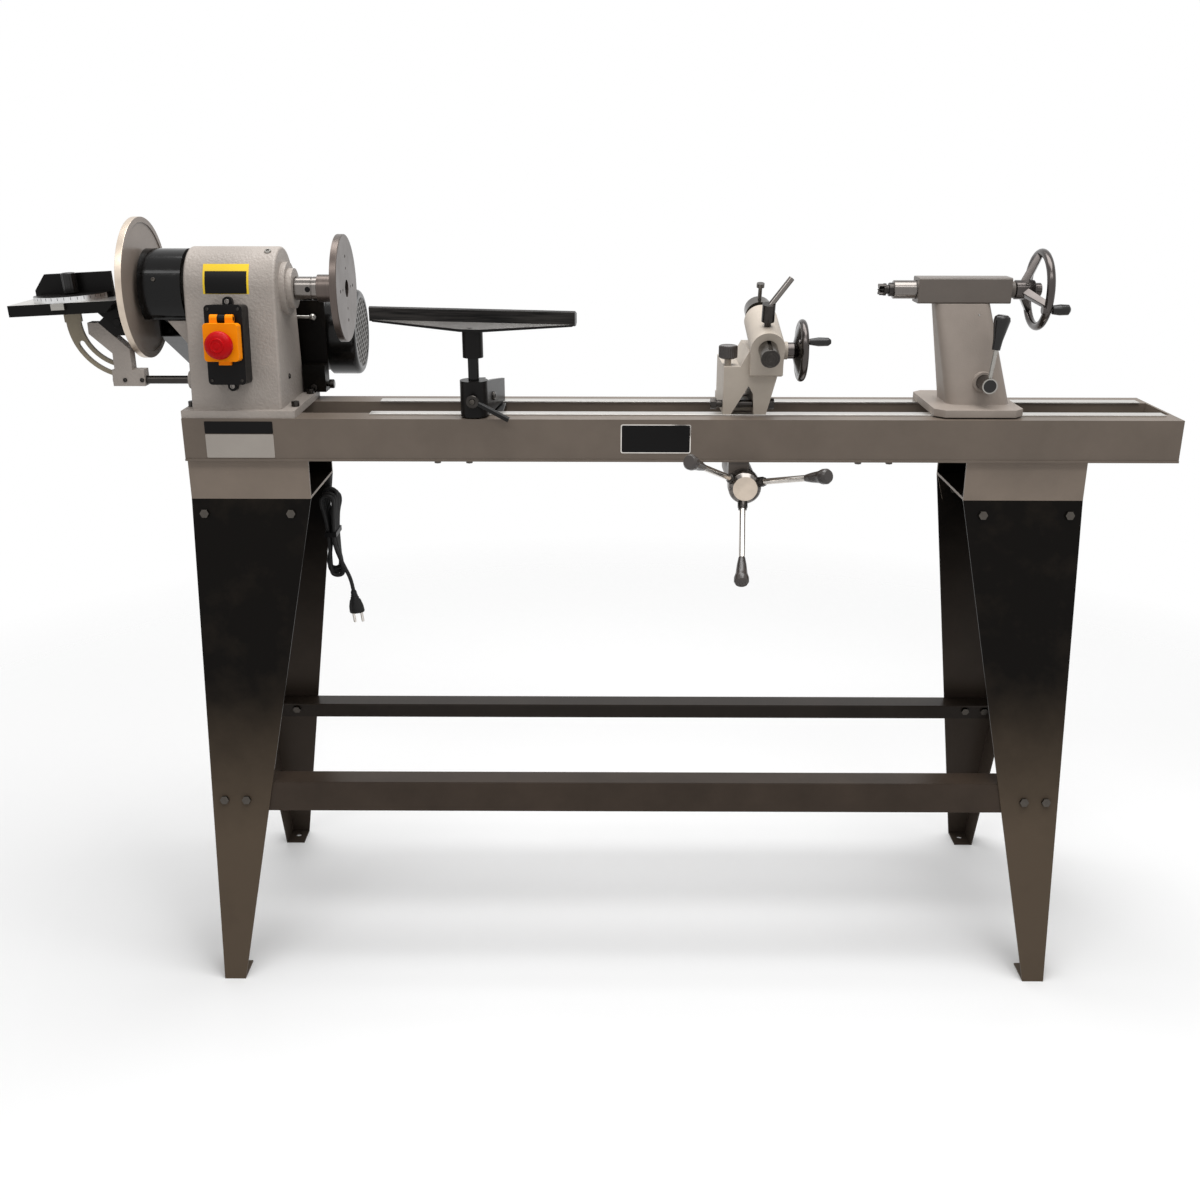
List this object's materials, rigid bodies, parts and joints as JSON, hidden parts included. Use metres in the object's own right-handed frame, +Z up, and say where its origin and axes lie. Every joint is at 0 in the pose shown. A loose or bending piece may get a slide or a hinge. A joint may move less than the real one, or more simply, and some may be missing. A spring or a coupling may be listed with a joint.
{
  "type": "duplicating wood lathe",
  "caption": "Wood lathe on a sheet-metal stand with a rack-fed copy carriage, tool rest, tailstock, sanding disc with tilting table, and a tied mains cord.",
  "frame": {"origin": "on the floor, midway between the four feet", "axes": "+X along the bed from headstock to tailstock, +Y away from the operator, +Z up"},
  "size_m": [1.6935, 0.4644, 1.1485],
  "materials": {
    "black_paint": "satin black baked paint on steel and iron",
    "grey_paint": "warm grey paint over cast texture",
    "smooth_grey_paint": "smooth warm grey paint",
    "pale_paint": "pale cream-grey paint",
    "steel": "turned or ground bare steel",
    "dark_steel": "blackened steel",
    "wheel_steel": "plated wheel",
    "pulley_metal": "turned aluminium",
    "motor_metal": "silver painted motor shell",
    "disc_metal": "turned disc",
    "black_plastic": "black moulded plastic",
    "yellow_plastic": "orange-yellow moulded plastic",
    "red_plastic": "red moulded plastic",
    "cord_rubber": "black rubber"
  },
  "bodies": {
    "frame": {"legs_left": "black_paint", "legs_right": "black_paint", "leg_brackets": "grey_paint", "cross_bars": "black_paint", "bed": "grey_paint", "ways": "steel", "headstock": "grey_paint", "frame_bolts": "dark_steel", "drive_belt": "cord_rubber", "guard": "black_paint", "motor": "motor_metal", "motor_plate": "black_paint", "switch_box": "black_plastic", "table_rod": "steel", "feed_rack": "dark_steel", "cord_gland": "black_plastic", "cord": "cord_rubber", "cord_hank": "cord_rubber", "cord_tie": "black_plastic", "plug": "cord_rubber"},
    "spindle": {"spindle": "steel", "spindle_pulley": "pulley_metal", "faceplate": "dark_steel", "sanding_disc": "disc_metal"},
    "motor_rotor": {"motor_pulley": "pulley_metal"},
    "guard_lid": {"guard_lid": "black_paint"},
    "belt_lever": {"belt_lever": "steel"},
    "switch_cover": {"switch_cover": "yellow_plastic"},
    "stop_button": {"stop_button": "red_plastic"},
    "switch_rocker": {"switch_rocker": "black_plastic"},
    "table_arm": {"table_arm": "grey_paint", "table_trunnion": "black_paint"},
    "sanding_table": {"sanding_table": "black_paint", "tilt_quadrant": "steel"},
    "mitre_bar": {"mitre_bar": "steel"},
    "mitre_head": {"mitre_head": "black_paint"},
    "mitre_knob": {"mitre_knob": "black_plastic"},
    "rest_clamp": {"rest_clamp": "steel"},
    "banjo": {"banjo": "black_paint"},
    "rest_lever": {"rest_lever": "dark_steel"},
    "rest_post": {"rest_post": "steel"},
    "rest_bar": {"rest_bar": "black_paint"},
    "copy_carriage": {"copy_casting": "pale_paint", "feed_apron": "smooth_grey_paint"},
    "feed_handle": {"feed_handle": "steel", "feed_knobs": "black_plastic"},
    "copy_ram": {"copy_ram": "steel", "tool_holder": "steel"},
    "copy_handwheel": {"copy_handwheel": "dark_steel"},
    "copy_grip": {"copy_grip": "black_plastic"},
    "ram_lever": {"ram_lever": "steel"},
    "copy_knob": {"copy_knob": "black_plastic"},
    "tailstock": {"tail_body": "grey_paint", "tail_housing": "smooth_grey_paint", "tail_clamp": "steel"},
    "tail_handwheel": {"tail_handwheel": "wheel_steel"},
    "tail_quill": {"tail_quill": "steel", "spur_centre": "dark_steel"},
    "tail_grip": {"tail_grip": "black_plastic"},
    "tail_lever": {"tail_lever": "dark_steel"}
  },
  "joints": [
    {"name": "spindle_spin", "type": "hinge", "parent": "frame", "child": "spindle", "pos_m": [-0.55, 0, 1.047], "axis": [1, 0, 0], "continuous": true},
    {"name": "motor_spin", "type": "hinge", "parent": "frame", "child": "motor_rotor", "pos_m": [-0.64, 0.165, 0.961], "axis": [1, 0, 0], "continuous": true},
    {"name": "guard_lid_hinge", "type": "hinge", "parent": "frame", "child": "guard_lid", "pos_m": [-0.691, 0.0462, 1.0915], "axis": [-1, 0, 0], "range_deg": [0, 100]},
    {"name": "belt_lever_turn", "type": "hinge", "parent": "frame", "child": "belt_lever", "pos_m": [-0.56, 0.08, 0.995], "axis": [0, 1, 0], "range_deg": [-20, 20]},
    {"name": "switch_cover_hinge", "type": "hinge", "parent": "frame", "child": "switch_cover", "pos_m": [-0.59, -0.10442, 1.0157], "axis": [-1, 0, 0], "range_deg": [0, 110]},
    {"name": "stop_press", "type": "slide", "parent": "switch_cover", "child": "stop_button", "axis": [0, 0.9955, -0.0943], "range_m": [0, 0.004], "stiffness_N_per_m": 600, "springref_m": -0.001},
    {"name": "rocker_turn", "type": "hinge", "parent": "frame", "child": "switch_rocker", "pos_m": [-0.59, -0.09629, 0.97425], "axis": [-1, 0, 0], "range_deg": [0, 12]},
    {"name": "table_arm_slide", "type": "slide", "parent": "frame", "child": "table_arm", "axis": [1, 0, 0], "range_m": [-0.02, 0.002]},
    {"name": "table_tilt", "type": "hinge", "parent": "table_arm", "child": "sanding_table", "pos_m": [-0.752, -0.05, 1.006], "axis": [0, -1, 0], "range_deg": [-3, 25]},
    {"name": "mitre_slide", "type": "slide", "parent": "sanding_table", "child": "mitre_bar", "axis": [0, 1, 0], "range_m": [-0.04, 0.06]},
    {"name": "mitre_swing", "type": "hinge", "parent": "mitre_bar", "child": "mitre_head", "pos_m": [-0.82184, -0.045, 1.03939], "axis": [-0.0523, 0, 0.9986], "range_deg": [-45, 45]},
    {"name": "mitre_knob_turn", "type": "hinge", "parent": "mitre_bar", "child": "mitre_knob", "pos_m": [-0.82247, -0.045, 1.05137], "axis": [-0.0523, 0, 0.9986], "range_deg": [-180, 180]},
    {"name": "rest_clamp_slide", "type": "slide", "parent": "frame", "child": "rest_clamp", "axis": [1, 0, 0], "range_m": [-0.02, 0.11]},
    {"name": "banjo_slide", "type": "slide", "parent": "rest_clamp", "child": "banjo", "axis": [0.1219, 0.9925, 0], "range_m": [-0.03, 0.002]},
    {"name": "rest_lever_turn", "type": "hinge", "parent": "banjo", "child": "rest_lever", "pos_m": [-0.24, -0.0915, 0.8981], "axis": [0, -1, 0], "range_deg": [-60, 120]},
    {"name": "rest_post_rise", "type": "slide", "parent": "banjo", "child": "rest_post", "axis": [0, 0, 1], "range_m": [0, 0.03]},
    {"name": "rest_bar_swivel", "type": "hinge", "parent": "rest_post", "child": "rest_bar", "pos_m": [-0.24, -0.07, 0.97], "axis": [0, 0, 1], "range_deg": [-90, 90]},
    {"name": "carriage_slide", "type": "slide", "parent": "frame", "child": "copy_carriage", "axis": [1, 0, 0], "range_m": [-0.12, 0.07]},
    {"name": "feed_turn", "type": "hinge", "parent": "copy_carriage", "child": "feed_handle", "pos_m": [0.157, -0.06, 0.775], "axis": [0, -1, 0], "range_deg": [-460, 270]},
    {"name": "ram_slide", "type": "slide", "parent": "copy_carriage", "child": "copy_ram", "axis": [0, 0.9659, 0.2588], "range_m": [-0.018, 0.03]},
    {"name": "ram_wheel_turn", "type": "hinge", "parent": "copy_carriage", "child": "copy_handwheel", "pos_m": [0.221, -0.03102, 0.96174], "axis": [1, 0, 0], "range_deg": [-220, 135]},
    {"name": "ram_grip_spin", "type": "hinge", "parent": "copy_handwheel", "child": "copy_grip", "pos_m": [0.262, -0.06002, 0.97874], "axis": [1, 0, 0], "continuous": true},
    {"name": "ram_lever_turn", "type": "hinge", "parent": "copy_carriage", "child": "ram_lever", "pos_m": [0.187, -0.05068, 0.97718], "axis": [0, -0.2588, 0.9659], "range_deg": [-90, 90]},
    {"name": "copy_knob_turn", "type": "hinge", "parent": "copy_carriage", "child": "copy_knob", "pos_m": [0.133, -0.04, 0.955], "axis": [0, 0, 1], "range_deg": [-180, 180]},
    {"name": "tailstock_slide", "type": "slide", "parent": "frame", "child": "tailstock", "axis": [1, 0, 0], "range_m": [-0.05, 0.225]},
    {"name": "tail_wheel_turn", "type": "hinge", "parent": "tailstock", "child": "tail_handwheel", "pos_m": [0.556, 0, 1.047], "axis": [1, 0, 0], "range_deg": [-1800, 2880]},
    {"name": "quill_slide", "type": "slide", "parent": "tailstock", "child": "tail_quill", "axis": [-1, 0, 0], "range_m": [-0.025, 0.04]},
    {"name": "tail_grip_spin", "type": "hinge", "parent": "tail_handwheel", "child": "tail_grip", "pos_m": [0.612, -0.0475, 1.0235], "axis": [1, 0, 0], "continuous": true},
    {"name": "tail_lever_turn", "type": "hinge", "parent": "tailstock", "child": "tail_lever", "pos_m": [0.513, -0.04, 0.917], "axis": [0, 1, 0], "range_deg": [-60, 60]}
  ],
  "couplings": [
    {"joint": "motor_spin", "follows": "spindle_spin", "ratio": 1.6557},
    {"joint": "feed_turn", "follows": "carriage_slide", "rad_per_m": 66.667},
    {"joint": "ram_wheel_turn", "follows": "ram_slide", "rad_per_m": -125},
    {"joint": "quill_slide", "follows": "tail_wheel_turn", "m_per_rad": 0.00079577}
  ]
}
